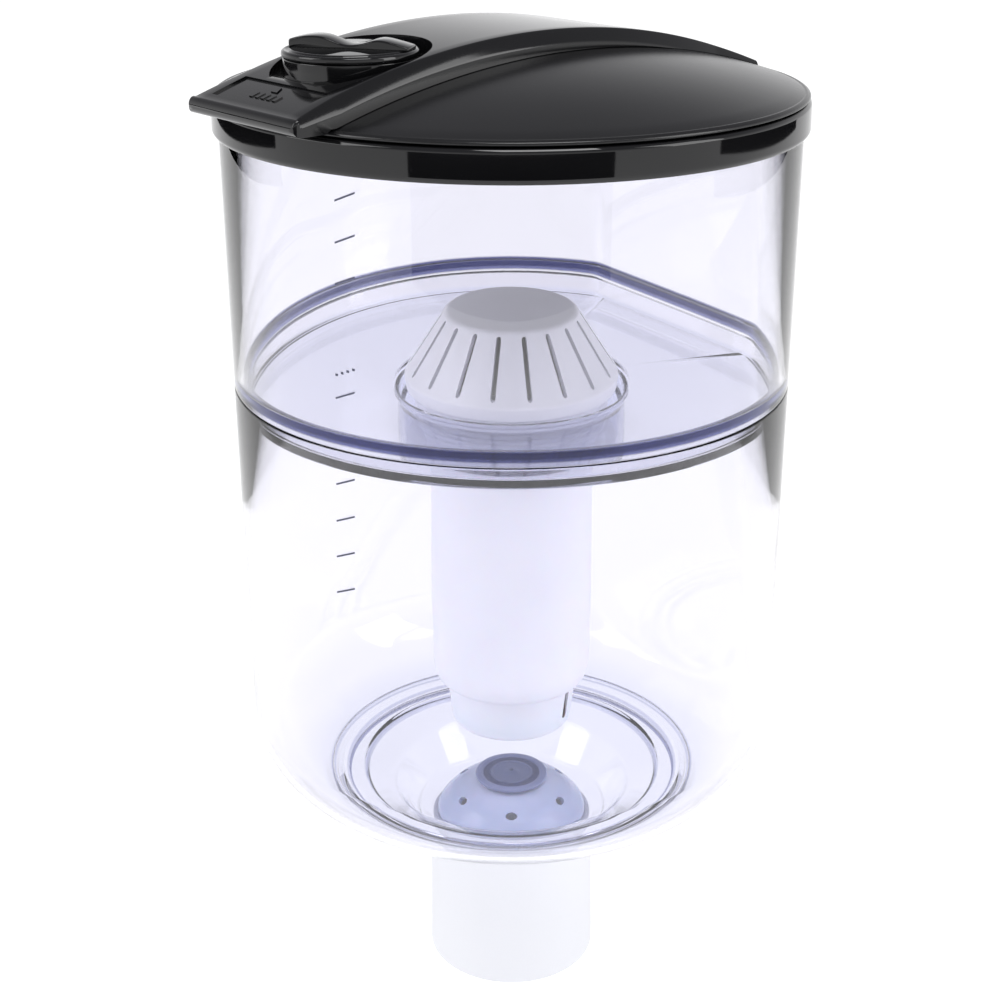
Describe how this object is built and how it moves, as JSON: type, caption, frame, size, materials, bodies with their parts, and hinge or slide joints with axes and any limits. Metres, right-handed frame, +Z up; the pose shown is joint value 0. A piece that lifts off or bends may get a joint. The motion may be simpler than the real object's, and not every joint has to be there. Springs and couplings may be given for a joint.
{
  "type": "gravity water filter bottle",
  "caption": "Two-chamber clear water bottle with a domed lid, a filter between the chambers and a spout that stands in a water cooler.",
  "frame": {"origin": "on the bottle's axis, in the plane of the spout's foot", "axes": "+Z up along the bottle's axis; -Y toward the lid's tab and filler dial; +Y toward the tanks' flat back"},
  "size_m": [0.282, 0.293, 0.5137],
  "materials": {
    "clear_tank": "polished clear plastic with a slight blue tint",
    "smoke_blue": "translucent blue-grey plastic",
    "white_plastic": "fine satin white moulding",
    "black_plastic": "polished black",
    "silicone": "matte",
    "filter_media": "granular",
    "filter_felt": "felt",
    "steel": "plain"
  },
  "bodies": {
    "base": {"lower_tank": "clear_tank", "outlet_dome": "smoke_blue", "spout": "white_plastic", "spout_seal": "silicone"},
    "valve": {"valve_cap": "smoke_blue", "valve_stem": "white_plastic"},
    "reservoir": {"upper_tank": "clear_tank", "head_seal": "silicone", "filter_head": "white_plastic"},
    "cartridge": {"cartridge_seal": "silicone", "cartridge_body": "white_plastic", "cartridge_end_cap": "white_plastic", "mineral_bed": "filter_media", "resin_bed": "filter_media", "carbon_bed": "filter_media", "sediment_pad": "filter_media"},
    "strainer": {"strainer_cap": "white_plastic", "strainer_pad": "filter_felt"},
    "lid": {"lid_ring": "black_plastic", "lid_seal": "silicone", "lid_dome": "black_plastic", "lid_bridge": "black_plastic"},
    "plug": {"filler_plug": "black_plastic", "filler_plug_seal": "silicone", "filler_dial": "black_plastic", "dial_washer": "steel"}
  },
  "joints": [
    {"name": "valve_lift", "type": "slide", "parent": "base", "child": "valve", "axis": [0, 0, 1], "range_m": [0, 0.006]},
    {"name": "reservoir_lift", "type": "slide", "parent": "base", "child": "reservoir", "axis": [0, 0, 1], "range_m": [0, 0.22]},
    {"name": "cartridge_unscrew", "type": "slide", "parent": "reservoir", "child": "cartridge", "axis": [0, 0, -1], "range_m": [0, 0.025]},
    {"name": "strainer_lift", "type": "slide", "parent": "reservoir", "child": "strainer", "axis": [0, 0, 1], "range_m": [0, 0.07]},
    {"name": "lid_lift", "type": "slide", "parent": "reservoir", "child": "lid", "axis": [0, 0, 1], "range_m": [0, 0.1]},
    {"name": "dial_turn", "type": "hinge", "parent": "lid", "child": "plug", "pos_m": [0, -0.093, 0.505], "axis": [0, 0, 1], "range_deg": [0, 90]}
  ]
}
